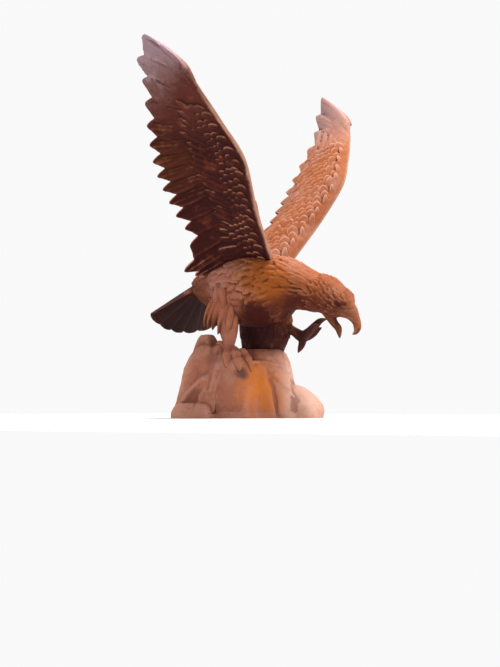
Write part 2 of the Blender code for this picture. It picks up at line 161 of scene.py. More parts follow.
def skin(name, rings):
    """A closed mesh through a grid of points, rings by points, with a fan over each end."""
    rings = np.asarray(rings, float)
    count, around = rings.shape[:2]
    points = np.vstack([rings.reshape(-1, 3), rings[0].mean(0), rings[-1].mean(0)])
    near = np.arange(around)
    after = (near + 1) % around
    start = (np.arange(count - 1) * around)[:, None]
    corners = (start + near, start + after, start + around + after, start + around + near)
    quads = np.stack(corners, -1).reshape(-1, 4)
    last = (count - 1) * around
    first_fan = np.stack([near, np.full(around, count * around), after], -1)
    last_fan = np.stack([last + near, last + after, np.full(around, count * around + 1)], -1)
    half = points[quads[:, :3]]
    volume = np.einsum("ij,ij->i", half[:, 0], np.cross(half[:, 1], half[:, 2])).sum()
    faces = [*quads.tolist(), *first_fan.tolist(), *last_fan.tolist()]
    if volume < 0:
        faces = [face[::-1] for face in faces]
    mesh = bpy.data.meshes.new(name)
    mesh.from_pydata(points, [], faces)
    return mesh


def rock_rings():
    """The rock's points, columns of even steps down its slopes."""
    marks = np.linspace(ROCK_REACH, ROCK_CROWN, 900)
    columns = []
    for j in range(ROCK_COLUMNS):
        turn = 2 * math.pi * j / ROCK_COLUMNS
        x, y = math.cos(turn), math.sin(turn)
        heights = rock_height(x * marks, y * marks)
        first = int(np.argmax(heights > 0))
        outs, ups = np.r_[marks[first], marks[first:]], np.r_[0.0, heights[first:]]
        walked = np.r_[0.0, np.cumsum(np.hypot(np.diff(outs), np.diff(ups)))]
        stops = np.linspace(0, walked[-1], ROCK_ROWS)
        r, z = np.interp(stops, walked, outs), np.interp(stops, walked, ups)
        columns.append(np.stack([x * r, y * r, z], -1))
    return np.stack(columns, 1)


# Lines cut or raised on the face towards the camera: how proud, how wide, and points across and up.
ROCK_LINES = (
    (-0.009, 0.013, ((-0.102, 0.285), (-0.108, 0.215), (-0.128, 0.150))),
    (-0.004, 0.007, ((-0.086, 0.223), (-0.106, 0.165), (-0.123, 0.100))),
    (0.006, 0.009, ((-0.128, 0.145), (-0.182, 0.091), (-0.225, 0.037))),
    (-0.003, 0.006, ((-0.128, 0.118), (-0.158, 0.078), (-0.165, 0.044))),
    (0.004, 0.014, ((0.000, 0.150), (0.008, 0.100), (0.006, 0.005))),
    (0.005, 0.005, ((0.027, 0.189), (0.070, 0.189), (0.123, 0.180), (0.150, 0.150))),
    (0.005, 0.005, ((0.103, 0.147), (0.135, 0.118), (0.170, 0.075))),
    (-0.003, 0.006, ((0.027, 0.225), (0.027, 0.190), (0.068, 0.160), (0.100, 0.110), (0.115, 0.005))),
)


def away_from(path, spots):
    """How far spots are from the nearest part of a path."""
    path = np.asarray(path, float)
    nearest = np.full(spots.shape[:-1], np.inf)
    for start, end in zip(path, path[1:]):
        run = end - start
        share = np.clip((spots - start) @ run / (run @ run), 0, 1)
        nearest = np.minimum(nearest, np.linalg.norm(spots - start - share[..., None] * run, axis=-1))
    return nearest


def chisel(rings):
    """Cuts the lines and chips into the rock's points."""
    sideways, facing = math.cos(CAMERA_TURN), math.sin(CAMERA_TURN)
    across = sideways * rings[..., 0] - facing * rings[..., 1]
    towards = -facing * rings[..., 0] - sideways * rings[..., 1]
    front = np.clip(towards / 0.05 + 0.2, 0, 1)
    # The last column is followed by the first, so that no seam shows between them.
    wrapped = np.concatenate([rings[:, -1:], rings, rings[:, :1]], 1)
    out = np.cross(np.gradient(wrapped, axis=1)[:, 1:-1], np.gradient(rings, axis=0))
    out /= np.maximum(np.linalg.norm(out, axis=-1, keepdims=True), 1e-9)
    if (out[..., 2][rings[..., 2] > 0.15]).mean() < 0:
        out = -out
    face = np.stack([across, rings[..., 2]], -1)
    proud = np.zeros(rings.shape[:2])
    for amount, wide, line in ROCK_LINES:
        proud += amount * np.exp(-((away_from(line, face) / wide) ** 2)) * front
    chips = np.array([
        0.0060 * noise.ridged_multi_fractal(Vector(p) * 5.0, 1.0, 2.1, 3, 1.0, 2.0)
        + 0.0016 * noise.noise(Vector(p) * 22.0)
        + 0.0006 * noise.noise(Vector(p) * 80.0)
        for p in rings.reshape(-1, 3)
    ]).reshape(proud.shape)
    proud += (chips - chips.mean()) * np.clip(rings[..., 2] / 0.02, 0.15, 1)
    moved = rings + out * proud[..., None]
    moved[..., 2] = np.maximum(moved[..., 2], 0)
    moved[0] = rings[0]
    return moved


rock_mesh = skin("rock_plinth_casting", chisel(rock_rings()))


# Rust, with painted light and shade. Its patches follow Object coordinates; its bright edges and dark
# hollows, which are partly wear and dirt and partly painted highlight and painted shade, follow the
# casting's relief.
class Line:
    """A value in a node tree. Sums, differences and products of values add their own Math nodes."""

    def __init__(self, tree, socket=None):
        self.tree, self.socket = tree, socket

    def node(self, kind, settings=None, inputs=None, output=0):
        """Adds a node: its settings first, a ramp's stops among them, then its sockets' values or links."""
        made = self.tree.nodes.new(kind)
        for name, value in (settings or {}).items():
            if name == "stops":
                ramp = made.color_ramp
                while len(ramp.elements) < len(value):
                    ramp.elements.new(1)
                for element, (position, colour) in zip(ramp.elements, value):
                    element.position, element.color = position, colour
            else:
                setattr(made, name, value)
        for name, value in (inputs or {}).items():
            if isinstance(value, Line):
                self.tree.links.new(value.socket, made.inputs[name])
            else:
                made.inputs[name].default_value = value
        return Line(self.tree, made.outputs[output])

    def math(self, operation, first, second=0.0):
        return self.node("ShaderNodeMath", {"operation": operation}, {0: first, 1: second})

    def __add__(self, other):
        return self.math("ADD", self, other)

    def __sub__(self, other):
        return self.math("SUBTRACT", self, other)

    def __rsub__(self, other):
        return self.math("SUBTRACT", other, self)

    def __mul__(self, other):
        return self.math("MULTIPLY", self, other)

    def __pow__(self, other):
        return self.math("POWER", self, other)

    __radd__, __rmul__ = __add__, __mul__


def read_points(mesh, what="co"):
    """Where a mesh's points are, or their normals."""
    values = np.zeros(len(mesh.vertices) * 3)
    mesh.vertices.foreach_get(what, values)
    return values.reshape(-1, 3)


def note_on_points(mesh, name, values):
    """Gives a mesh's points a value that its material can read."""
    mesh.attributes.new(name, "FLOAT", "POINT").data.foreach_set("value", values.astype(np.float32))


# How many times the skin is smoothed before a point is held against it, and the height that counts in full.
RELIEF = (("proud_near", 5, 0.0012), ("proud_far", 45, 0.0040))


def mark_relief(mesh):
    """Notes on every point how proud or hollow it lies in the skin around it, close by and further off."""
    count = len(mesh.vertices)
    spots, outward = read_points(mesh), read_points(mesh, "normal")
    ends = np.zeros(len(mesh.edges) * 2, int)
    mesh.edges.foreach_get("vertices", ends)
    one, other = ends.reshape(-1, 2).T
    degree = np.bincount(one, minlength=count) + np.bincount(other, minlength=count)
    smooth = spots.copy()
    rounds_done = 0
    for name, rounds, scale in RELIEF:
        while rounds_done < rounds:
            near = [
                np.bincount(one, smooth[other, i], count) + np.bincount(other, smooth[one, i], count)
                for i in range(3)
            ]
            smooth = np.stack(near, -1) / np.maximum(degree, 1)[:, None]
            rounds_done += 1
        proud = ((spots - smooth) * outward).sum(1) / scale
        note_on_points(mesh, name, np.clip(0.5 + 0.5 * proud, 0, 1))


def ease(value, low, high):
    """0 below low, 1 above high, and a smooth rise between, or a fall where low is the larger."""
    return value.node(
        "ShaderNodeMapRange", {"interpolation_type": "SMOOTHSTEP"},
        {"Value": value, "From Min": low, "From Max": high},
    )


def mixed(first, second, share):
    """One colour over another by a share."""
    return share.node("ShaderNodeMix", {"data_type": "RGBA"}, {0: share, 6: first, 7: second}, 2)


def rust_and_painted_light(name, tones, stains_and_shade):
    """Bare cast iron under old rust.

    tones are the colours of faces that look up, weathered and painted lit, and of faces under them, less
    weathered and painted shaded, of their patches, of their edges, rubbed and painted highlit, and of
    hollows.
    stains_and_shade are patches of one colour, some of rust and some of painted shade: centre, radius,
    colour and strength.
    """
    tones = {name: (*tone, 1) for name, tone in tones.items()}
    material = bpy.data.materials.new(name)
    material.use_nodes = True
    tree = material.node_tree
    shader = tree.nodes["Principled BSDF"]
    line = Line(tree)
    place = line.node("ShaderNodeTexCoord", None, None, 3)
    settings = ("Vector", "Scale", "Detail", "Roughness")
    clouds, mottle, grain = (
        line.node("ShaderNodeTexNoise", None, dict(zip(settings, (place, *values))))
        for values in ((6.5, 5.0, 0.6), (34.0, 5.0, 0.65), (260.0, 3.0, 0.6))
    )
    cells = line.node("ShaderNodeTexVoronoi", None, {"Vector": place, "Scale": 110.0})
    near, far, front_edge = (
        line.node("ShaderNodeAttribute", {"attribute_name": noted}, None, 2)
        for noted in ("proud_near", "proud_far", "front_edge")
    )
    facing = line.node("ShaderNodeNewGeometry", None, None, 1)
    facing_up = line.node("ShaderNodeSeparateXYZ", None, {0: facing}, 2)

    # Faces that look up take the lighter tones and those under them the darker: partly weathering, as rain
    # reaches the upper ones, and partly painted light and painted shade.
    wander = (clouds - 0.5) * 0.9 + (mottle - 0.5) * 0.5
    open_and_lit_face = ease(facing_up + wander + front_edge * 0.55, -0.42, 0.02)
    upper_patches = ease(clouds + (mottle - 0.5) * 0.5, 0.42, 0.62)
    under_patches = ease(mottle + (clouds - 0.5) * 0.6, 0.50, 0.70)
    exposed_and_lit = mixed(tones["open_and_lit"], tones["open_patch"], upper_patches)
    sheltered_and_shaded = mixed(tones["sheltered_and_shaded"], tones["sheltered_patch"], under_patches)
    colour = mixed(sheltered_and_shaded, exposed_and_lit, open_and_lit_face)
    # Proud edges are lighter, partly from wear and partly as a painted highlight, in one tone for upper
    # faces and one for those under them.
    worn_and_highlit = ease(near * 0.6 + far * 0.4 + (mottle - 0.5) * 0.18, 0.55, 0.82)
    colour = mixed(colour, mixed(tones["sheltered_worn"], tones["worn_and_highlit"], open_and_lit_face), worn_and_highlit * 0.6)
    for centre, radius, stain_and_shade_colour, strength in stains_and_shade:
        away = line.node("ShaderNodeVectorMath", {"operation": "DISTANCE"}, {0: place, 1: centre}, 1)
        ragged = (mottle - 0.5) * radius * 0.7 + (clouds - 0.5) * radius * 0.7
        edge = ease(away + ragged, radius, radius * 0.35)
        colour = mixed(colour, (*stain_and_shade_colour, 1), edge * strength)
    # The hollows beside the feathers are darkened, partly by dirt and partly as painted shade; dirt also
    # stays in the pits of the sand mould.
    hollow = ease(near * 0.55 + far * 0.45, 0.48, 0.20)
    colour = mixed(colour, tones["hollow"], hollow * 0.62)
    pit = ease(cells + (grain - 0.5) * 0.2, 0.24, 0.10) * ease(mottle, 0.46, 0.56)
    colour = mixed(colour, tones["hollow"], pit * 0.7)
    tree.links.new(colour.socket, shader.inputs["Base Color"])
    rough = 0.74 + (grain - 0.5) * 0.3 + (mottle - 0.5) * 0.2
    tree.links.new(rough.socket, shader.inputs["Roughness"])
    shader.inputs["Specular IOR Level"].default_value = 0.12
    height = grain * 0.35 + mottle * 0.8 - pit * 0.9
    bump = line.node("ShaderNodeBump", None, {"Strength": 0.55, "Distance": 0.0016, "Height": height})
    tree.links.new(bump.socket, shader.inputs["Normal"])
    return material


rock_rust_and_painted_light = rust_and_painted_light(
    "rusted_rock_casting",
    {
        # Faces that look up are painted lit and those under them painted shaded, on top of their rust; proud
        # edges are painted highlit.
        "open_and_lit": (0.42, 0.150, 0.092), "open_patch": (0.47, 0.205, 0.140),
        "sheltered_and_shaded": (0.29, 0.105, 0.070), "sheltered_patch": (0.36, 0.14, 0.09),
        "worn_and_highlit": (0.53, 0.27, 0.19), "sheltered_worn": (0.42, 0.18, 0.12),
        "hollow": (0.25, 0.090, 0.066),
    },
    (
        ((0.09, -0.17, 0.10), 0.18, (0.70, 0.41, 0.32), 0.92),
        ((-0.08, -0.16, 0.12), 0.145, (0.62, 0.175, 0.024), 0.9),
        ((-0.125, -0.070, 0.150), 0.032, (0.12, 0.050, 0.060), 0.85),
        # Painted shade on the rock behind the standing leg.
        ((-0.160, 0.030, 0.215), 0.055, (0.17, 0.060, 0.048), 0.6),
    ),
)
mark_relief(rock_mesh)
rock_mesh.shade_smooth()
rock_mesh.materials.append(rock_rust_and_painted_light)
rock = bpy.data.objects.new("rock_plinth_casting", rock_mesh)
bpy.context.scene.collection.objects.link(rock)
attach(rock, "root")
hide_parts("rock_plinth")


# Eagle body.
# Trunk, neck and head, tail and both legs, cast as one hollow piece. The feathers were carved in the
# pattern: shingled scales on back and flank, long strands on the neck, low soft ones under the belly.
SEAT = PLINTH_HEIGHT
# Trunk, neck and head, from the rump to the face: place along it, forward, up, half height, half width.
TRUNK = (
    (0.00, -0.195, 0.250, 0.016, 0.026),
    (0.06, -0.160, 0.242, 0.046, 0.056),
    (0.17, -0.100, 0.236, 0.082, 0.086),
    (0.28, -0.030, 0.226, 0.107, 0.108),
    (0.40, 0.045, 0.220, 0.121, 0.120),
    (0.52, 0.120, 0.227, 0.110, 0.114),
    (0.62, 0.180, 0.231, 0.086, 0.097),
    (0.70, 0.232, 0.220, 0.069, 0.080),
    (0.78, 0.280, 0.206, 0.062, 0.067),
    (0.85, 0.322, 0.195, 0.060, 0.061),
    (0.91, 0.358, 0.175, 0.052, 0.054),
    (0.96, 0.390, 0.159, 0.042, 0.044),
    (1.00, 0.412, 0.143, 0.019, 0.022),
)
TRUNK_ROUNDNESS = 0.88


def follow(keys, where):
    """Reads the smooth curve through keys, rows of (parameter, values), at each of where."""
    keys = np.asarray(keys, float)
    known, values = keys[:, 0], keys[:, 1:]
    slopes = np.gradient(values, known, axis=0)
    where = np.clip(np.asarray(where, float), known[0], known[-1])
    i = np.clip(np.searchsorted(known, where, side="right") - 1, 0, len(known) - 2)
    span = (known[i + 1] - known[i])[..., None]
    t = (where - known[i])[..., None] / span
    curve = values[i] + (values[i + 1] - values[i]) * t * t * (3 - 2 * t)
    return curve + span * (slopes[i] * t * (1 - t) ** 2 - slopes[i + 1] * t * t * (1 - t))


def in_place(points):
    """Points given as side, forward and up from the rock seat, in the row frame."""
    return np.asarray(points, float) * (1, -1, 1) + (0, 0, SEAT)


def bulged(share):
    """A share of a half width, from -1 to 1, on a section fuller than an oval."""
    return np.sign(share) * np.abs(share) ** TRUNK_ROUNDNESS


def trunk_points(along, turn, out=0.0):
    """Points of the trunk's skin: how far along it and how far round, from the left side over the top."""
    along, turn = np.broadcast_arrays(np.asarray(along, float), np.asarray(turn, float))
    forward, up, high, wide = np.moveaxis(follow(TRUNK, along), -1, 0)
    ahead = (follow(TRUNK, along + 0.02) - follow(TRUNK, along - 0.02))[..., :2]
    tilt = np.arctan2(ahead[..., 1], ahead[..., 0])
    rise = bulged(np.sin(turn)) * (high + out)
    side = bulged(np.cos(turn)) * (wide + out)
    return in_place(np.stack([side, forward - rise * np.sin(tilt), up + rise * np.cos(tilt)], -1))


def feather_tree():
    """Nodes that set a carved feather on every point, turned and sized by the point's own values."""
    tree = bpy.data.node_groups.new("carved_feathers", "GeometryNodeTree")
    # A feather's shape in shares of its size. Roundness and tip give its outline.
    sizes = (
        ("Length", 1.0), ("Width", 1.0), ("Crown", 0.10), ("Shaft", 0.05), ("Lift", 0.12), ("Sink", 0.15),
        ("Roundness", 4.0), ("Root width", 0.55), ("Tip", 0.5),
    )
    tree.interface.new_socket("Points", in_out="INPUT", socket_type="NodeSocketGeometry")
    for name, value in sizes:
        tree.interface.new_socket(name, in_out="INPUT", socket_type="NodeSocketFloat").default_value = value
    tree.interface.new_socket("Iron", in_out="INPUT", socket_type="NodeSocketMaterial")
    tree.interface.new_socket("Feathers", in_out="OUTPUT", socket_type="NodeSocketGeometry")
    given = tree.nodes.new("NodeGroupInput")
    line = Line(tree)
    take = {name: Line(tree, given.outputs[name]) for name, _ in sizes}
    cuts = {"Size": (1, 1, 1), "Vertices X": 9, "Vertices Y": 12, "Vertices Z": 2}
    block = line.node("GeometryNodeMeshCube", None, cuts)
    spot = line.node("GeometryNodeInputPosition")
    x, y, z = (line.node("ShaderNodeSeparateXYZ", None, {0: spot}, part) for part in range(3))
    down = y + 0.5
    outline = line.math("MAXIMUM", 1 - line.math("POWER", down, take["Roundness"]), 0.0016)
    outline = outline ** take["Tip"]
    taper = take["Root width"] + (1 - take["Root width"]) * line.math("MINIMUM", down * 2.0, 1.0)
    middle = 1 - (x * x) * 4
    ridge = line.math("MAXIMUM", 1 - line.math("ABSOLUTE", x, 0.0) * 8, 0.0)
    top = take["Lift"] * down + take["Crown"] * middle * outline + take["Shaft"] * ridge
    height = (z + 0.5) * (top + take["Sink"]) - take["Sink"]
    shaped = line.node(
        "ShaderNodeCombineXYZ", None,
        {0: x * take["Width"] * outline * taper, 1: down * take["Length"], 2: height},
    )
    blade = line.node("GeometryNodeSetPosition", None, {"Geometry": block, "Position": shaped})
    turn = line.node("GeometryNodeInputNamedAttribute", {"data_type": "QUATERNION"}, {"Name": "turn"})
    size = line.node("GeometryNodeInputNamedAttribute", {"data_type": "FLOAT_VECTOR"}, {"Name": "size"})
    points = Line(tree, given.outputs["Points"])
    set_out = line.node(
        "GeometryNodeInstanceOnPoints", None,
        {"Points": points, "Instance": blade, "Rotation": turn, "Scale": size},
    )
    real = line.node("GeometryNodeRealizeInstances", None, {"Geometry": set_out})
    iron = Line(tree, given.outputs["Iron"])
    dressed = line.node("GeometryNodeSetMaterial", None, {"Geometry": real, "Material": iron})
    taken = tree.nodes.new("NodeGroupOutput")
    tree.links.new(dressed.socket, taken.inputs["Feathers"])
    return tree


feathers_on_points = feather_tree()


def applied(piece):
    """A piece's mesh with its modifiers worked in, which are then taken off."""
    bpy.context.view_layer.update()
    seen = piece.evaluated_get(bpy.context.evaluated_depsgraph_get())
    mesh = bpy.data.meshes.new_from_object(seen)
    piece.modifiers.clear()
    return mesh


def carve_feathers(name, places, aheads, outs, sizes, **shape):
    """A mesh of feathers: where each is rooted, where it points, which way is out, and its size."""
    points = bpy.data.meshes.new(name)
    points.from_pydata(places, [], [])
    turns = []
    for ahead, out in zip(aheads, outs):
        ahead, out = Vector(ahead).normalized(), Vector(out)
        out = (out - ahead * out.dot(ahead)).normalized()
        turns.append(Matrix((ahead.cross(out), ahead, out)).transposed().to_quaternion())
    points.attributes.new("turn", "QUATERNION", "POINT").data.foreach_set("value", np.ravel(turns))
    points.attributes.new("size", "FLOAT_VECTOR", "POINT").data.foreach_set("vector", np.ravel(sizes))
    holder = bpy.data.objects.new(name, points)
    bpy.context.scene.collection.objects.link(holder)
    step = holder.modifiers.new("feathers", "NODES")
    step.node_group = feathers_on_points
    for socket in feathers_on_points.interface.items_tree:
        size_name = socket.name.lower().replace(" ", "_")
        if socket.in_out == "INPUT" and size_name in shape:
            step[socket.identifier] = shape[size_name]
    mesh = applied(holder)
    bpy.data.objects.remove(holder)
    return mesh


def engrave(mesh, lines):
    """Cuts lines into a casting's skin, or raises them where their amount is above 0."""
    spots, outward = read_points(mesh), read_points(mesh, "normal")
    proud = np.zeros(len(spots))
    for amount, wide, path in lines:
        proud += amount * np.exp(-((away_from(in_place(path), spots) / wide) ** 2))
    mesh.vertices.foreach_set("co", (spots + outward * proud[:, None]).ravel())
    mesh.update()


# A casting has fewer triangles than this. Its flat places need fewer of them than feather edges do.
MOST_TRIANGLES = 190000
# How far from a wing's front edge its skin counts as the front strip, which takes the tones of faces that
# look up, partly weathering and partly painted light.
FRONT_STRIP = 0.013


def fuse(name, meshes, grain, finish, lines=(), front=None):
    """One closed casting out of overlapping closed meshes, its skin in squares as wide as the grain.

    lines are cut into it, and front is the path of a wing's front edge.
    """
    whole = bpy.data.meshes.new(name)
    points, faces, first = [], [], 0
    for mesh in meshes:
        points.append(read_points(mesh))
        faces += [[first + corner for corner in face.vertices] for face in mesh.polygons]
        first += len(mesh.vertices)
    whole.from_pydata(np.vstack(points), [], faces)
    piece = bpy.data.objects.new(name, whole)
    bpy.context.scene.collection.objects.link(piece)
    melt = piece.modifiers.new("melt", "REMESH")
    melt.mode, melt.voxel_size = "VOXEL", grain
    soften = piece.modifiers.new("soften", "SMOOTH")
    soften.factor, soften.iterations = 0.5, 1
    piece.data = applied(piece)
    engrave(piece.data, lines)
    mark_relief(piece.data)
    if front is not None:
        away = np.linalg.norm(read_points(piece.data)[:, None] - front, axis=2).min(1)
        note_on_points(piece.data, "front_edge", np.clip(1.5 - away / FRONT_STRIP, 0, 1))
    thin = piece.modifiers.new("thin", "DECIMATE")
    thin.ratio = min(MOST_TRIANGLES / (2 * len(piece.data.polygons)), 1)
    piece.data = applied(piece)
    piece.data.name = name
    piece.data.shade_smooth()
    piece.data.materials.clear()
    piece.data.materials.append(finish)
    return piece


chance = np.random.default_rng(7)

# The trunk's own skin under its feathers.
along = np.linspace(0, 1, 200)
turn = np.linspace(0, 2 * math.pi, 160, endpoint=False)
trunk_mesh = skin("trunk", trunk_points(along[:, None], turn[None, :], 0.0015))

# Feathers of back, flank and breast in staggered rows, then the neck's strands. The rows narrow where
# the neck begins, and shorten where the face does.
BODY_LENGTH = 0.74
FIRST_ROW, LAST_ROW, ROW_GAP = 0.03, 0.965, 0.018
NECK_FROM, FACE_FROM = 0.48, 0.76
# How high a carved feather would stand at a lift of 1.
FEATHER_HEIGHT = 0.030
row, rows = 0, []
at = FIRST_ROW
while at < LAST_ROW:
    neck = min(max((at - NECK_FROM) / 0.2, 0), 1)
    face = min(max((at - FACE_FROM) / 0.08, 0), 1)
    long = 0.038 + 0.010 * neck - 0.012 * face
    wide = 0.024 - 0.011 * neck - 0.002 * face
    around = math.pi * (follow(TRUNK, at)[2] + follow(TRUNK, at)[3])
    count = max(int(around / wide), 8)
    for j in range(count):
        rows.append((at, 2 * math.pi * (j + 0.5 * (row % 2)) / count, long, wide))
    at += (ROW_GAP - 0.002 * neck) / BODY_LENGTH
    row += 1
rows = np.array(rows)
rows[:, 0] += chance.uniform(-0.006, 0.006, len(rows))
rows[:, 1] += chance.uniform(-0.05, 0.05, len(rows))
at, turned, long, wide = rows.T
on_head = np.clip((at - FACE_FROM) / 0.12, 0, 1)
# The feathers of the flank sag as they run back, and those of the head are combed up from the brow.
sag = np.cos(turned) * (0.10 * np.clip((0.7 - at) / 0.2, 0, 1) - 0.45 * on_head)
sag = sag + chance.uniform(-0.07, 0.07, len(rows))
root = at + 0.5 * long / BODY_LENGTH
spots = trunk_points(root, turned)
ahead = trunk_points(root - 0.02, turned - 0.5 * sag) - spots
out = trunk_points(root, turned, 0.02) - spots
jitter = chance.uniform(0.88, 1.15, len(rows))
tall = FEATHER_HEIGHT - 0.008 * on_head
# They are lower on the nape, and under the belly they are hardly raised at all.
tall *= 1 - 0.45 * np.clip((at - 0.62) / 0.15, 0, 1) * np.clip(np.sin(turned), 0, 1)
tall *= 1 - (0.40 + 0.32 * (at < 0.6)) * np.clip((-0.30 - np.sin(turned)) / 0.2, 0, 1)
size = np.stack([wide * 1.22, long, tall], -1) * jitter[:, None]
body_feathers = carve_feathers(
    "body_feathers", spots, ahead, out, size,
    crown=0.12, shaft=0.02, lift=0.26, sink=0.25, roundness=2.4, root_width=0.8, tip=0.6,
)

# Tail fan: where it starts, how long it is, how much shorter in the middle, and how it is set.
TAIL_FORWARD, TAIL_UP = -0.170, 0.250
TAIL_LENGTH = 0.236
TAIL_HOLLOW = 0.16
TAIL_FEATHERS = 5
TAIL_SPREAD = math.radians(50)
TAIL_PITCH = math.radians(55)
TAIL_ROLL = math.radians(3)
# Half its thickness at shares of its length, and how proud its feathers lie.
TAIL_SECTION = ((0, 0.012), (0.35, 0.010), (0.7, 0.007), (1, 0.005))
TAIL_RELIEF = 0.0024


def vane_relief(across):
    """The swell of a feather across its width: it rises from under its neighbour and has a raised shaft."""
    rise = np.clip(across / 0.22, 0, 1)
    rise = rise * rise * (3 - 2 * rise)
    fall = 1 - 0.55 * np.clip((across - 0.22) / 0.78, 0, 1)
    drop = 1 - np.clip((across - 0.94) / 0.06, 0, 1)
    shaft = 0.22 * np.exp(-(((across - 0.55) / 0.055) ** 2))
    return (rise * fall + shaft) * drop


def tail_rings():
    """The fan as rings across it, each from the root over the upper face and back underneath."""
    number = np.linspace(0, TAIL_FEATHERS, TAIL_FEATHERS * 40 + 1)[:, None]
    across = number % 1
    turn = TAIL_SPREAD * (2 * number / TAIL_FEATHERS - 1)
    rounded = np.sqrt(np.abs(np.sin(math.pi * across)))
    long = TAIL_LENGTH * (1 - TAIL_HOLLOW * (1 - (turn / TAIL_SPREAD) ** 2)) * (0.95 + 0.05 * rounded)
    share = np.linspace(0, 1, 90)[None, :]
    side = -np.sin(turn) * long * share - 0.02 * turn
    drop = np.cos(turn) * long * share
    thick = np.interp(share, *zip(*TAIL_SECTION))
    faces = []
    for lift in (1, -1):
        proud = lift * (thick + TAIL_RELIEF * vane_relief(across) * np.clip(share * 2, 0, 1))
        forward = TAIL_FORWARD - drop * math.cos(TAIL_PITCH) - proud * math.sin(TAIL_PITCH)
        up = TAIL_UP - drop * math.sin(TAIL_PITCH) + proud * math.cos(TAIL_PITCH)
        faces.append(in_place(np.stack([side, forward, up - side * math.sin(TAIL_ROLL)], -1)))
    return np.concatenate([faces[0], faces[1][:, ::-1]], 1)


tail_mesh = skin("tail", tail_rings())


# Legs, brows and eyes are round pieces along paths, in rings this far apart.
RING_GAP = 0.0025


def tube(name, path, around):
    """A closed round piece along points that each have a half thickness."""
    path = np.asarray(path, float)
    steps = np.r_[0.0, np.cumsum(np.linalg.norm(np.diff(path[:, :3], axis=0), axis=1))]
    dense = follow(np.c_[steps, path], np.linspace(0, steps[-1], max(int(steps[-1] / RING_GAP), 8)))
    centres = in_place(dense[:, :3])
    ahead = np.gradient(centres, axis=0)
    across = np.array([1.0, 0.3, 0.0])
    rings = []
    angles = np.linspace(0, 2 * math.pi, around, endpoint=False)
    for centre, way, reach in zip(centres, ahead, dense[:, 3]):
        way = way / np.linalg.norm(way)
        across = across - way * across.dot(way)
        across /= np.linalg.norm(across)
        over = np.cross(across, way)
        ring = np.cos(angles)[:, None] * across + np.sin(angles)[:, None] * over
        rings.append(centre + ring * max(reach, 0.001))
    return skin(name, rings)


def thigh_points(sections, up, angle, out=0.0):
    """Points of a thigh's skin at a height and an angle from the front towards the bird's left."""
    sections = np.asarray(sections, float)
    up, angle = np.broadcast_arrays(np.asarray(up, float), np.asarray(angle, float))
    downward = np.c_[-sections[:, 0], sections[:, 1:]]
    side, forward, long, wide = np.moveaxis(follow(downward, -up), -1, 0)
    ring = [side + np.sin(angle) * (wide + out), forward + np.cos(angle) * (long + out), up]
    return in_place(np.stack(ring, -1))


def thigh(name, sections):
    """The core of a feathered thigh."""
    ups = np.linspace(sections[0][0], sections[-1][0], 90)[:, None]
    angle = np.linspace(0, 2 * math.pi, 110, endpoint=False)[None, :]
    return skin(name, thigh_points(sections, ups, angle))


def thigh_strands(name, sections, rows, sweep):
    """Long strands that hang down a thigh in rows: up, length, width, count, lift, first and last angle."""
    meshes = []
    for up, long, wide, count, lift, low, high in rows:
        angle = np.linspace(low, high, count) + chance.uniform(-0.04, 0.04, count)
        start = up + chance.uniform(-0.006, 0.006, count)
        spots = thigh_points(sections, start, angle, -0.001)
        # The strands sweep towards the tail on their way down.
        turned = angle + sweep * np.sin(angle) * long / 0.09
        ends = thigh_points(sections, start - long, turned, lift)
        halfway = start - 0.5 * long
        outward = thigh_points(sections, halfway, angle, 0.02) - thigh_points(sections, halfway, angle)
        ahead = ends - spots
        length = np.linalg.norm(ahead, axis=-1) * chance.uniform(0.85, 1.2, count)
        width = wide * chance.uniform(0.8, 1.2, count)
        size = np.stack(np.broadcast_arrays(width, length, FEATHER_HEIGHT), -1)
        meshes.append(carve_feathers(
            name, spots, ahead, outward, size,
            crown=0.07, shaft=0.0, lift=0.10, sink=0.25, roundness=2.2, root_width=0.75, tip=0.8,
        ))
    return meshes


# How thick a lock of feathers is, in shares, at shares of its length.
LOCK_SHAPE = ((0, 0.5), (0.25, 0.85), (0.5, 1.0), (0.75, 0.8), (0.92, 0.4), (1.0, 0.12))


def lock(start, middle, end, thick):
    """A lock of hanging feathers through three points, thin where it starts and pointed where it ends."""
    start, middle, end = np.array(start), np.array(middle), np.array(end)
    path = []
    for t, share in LOCK_SHAPE:
        spot = start * (1 - t) ** 2 + (2 * middle - 0.5 * (start + end)) * 2 * t * (1 - t) + end * t**2
        path.append((*spot, thick * share))
    return path


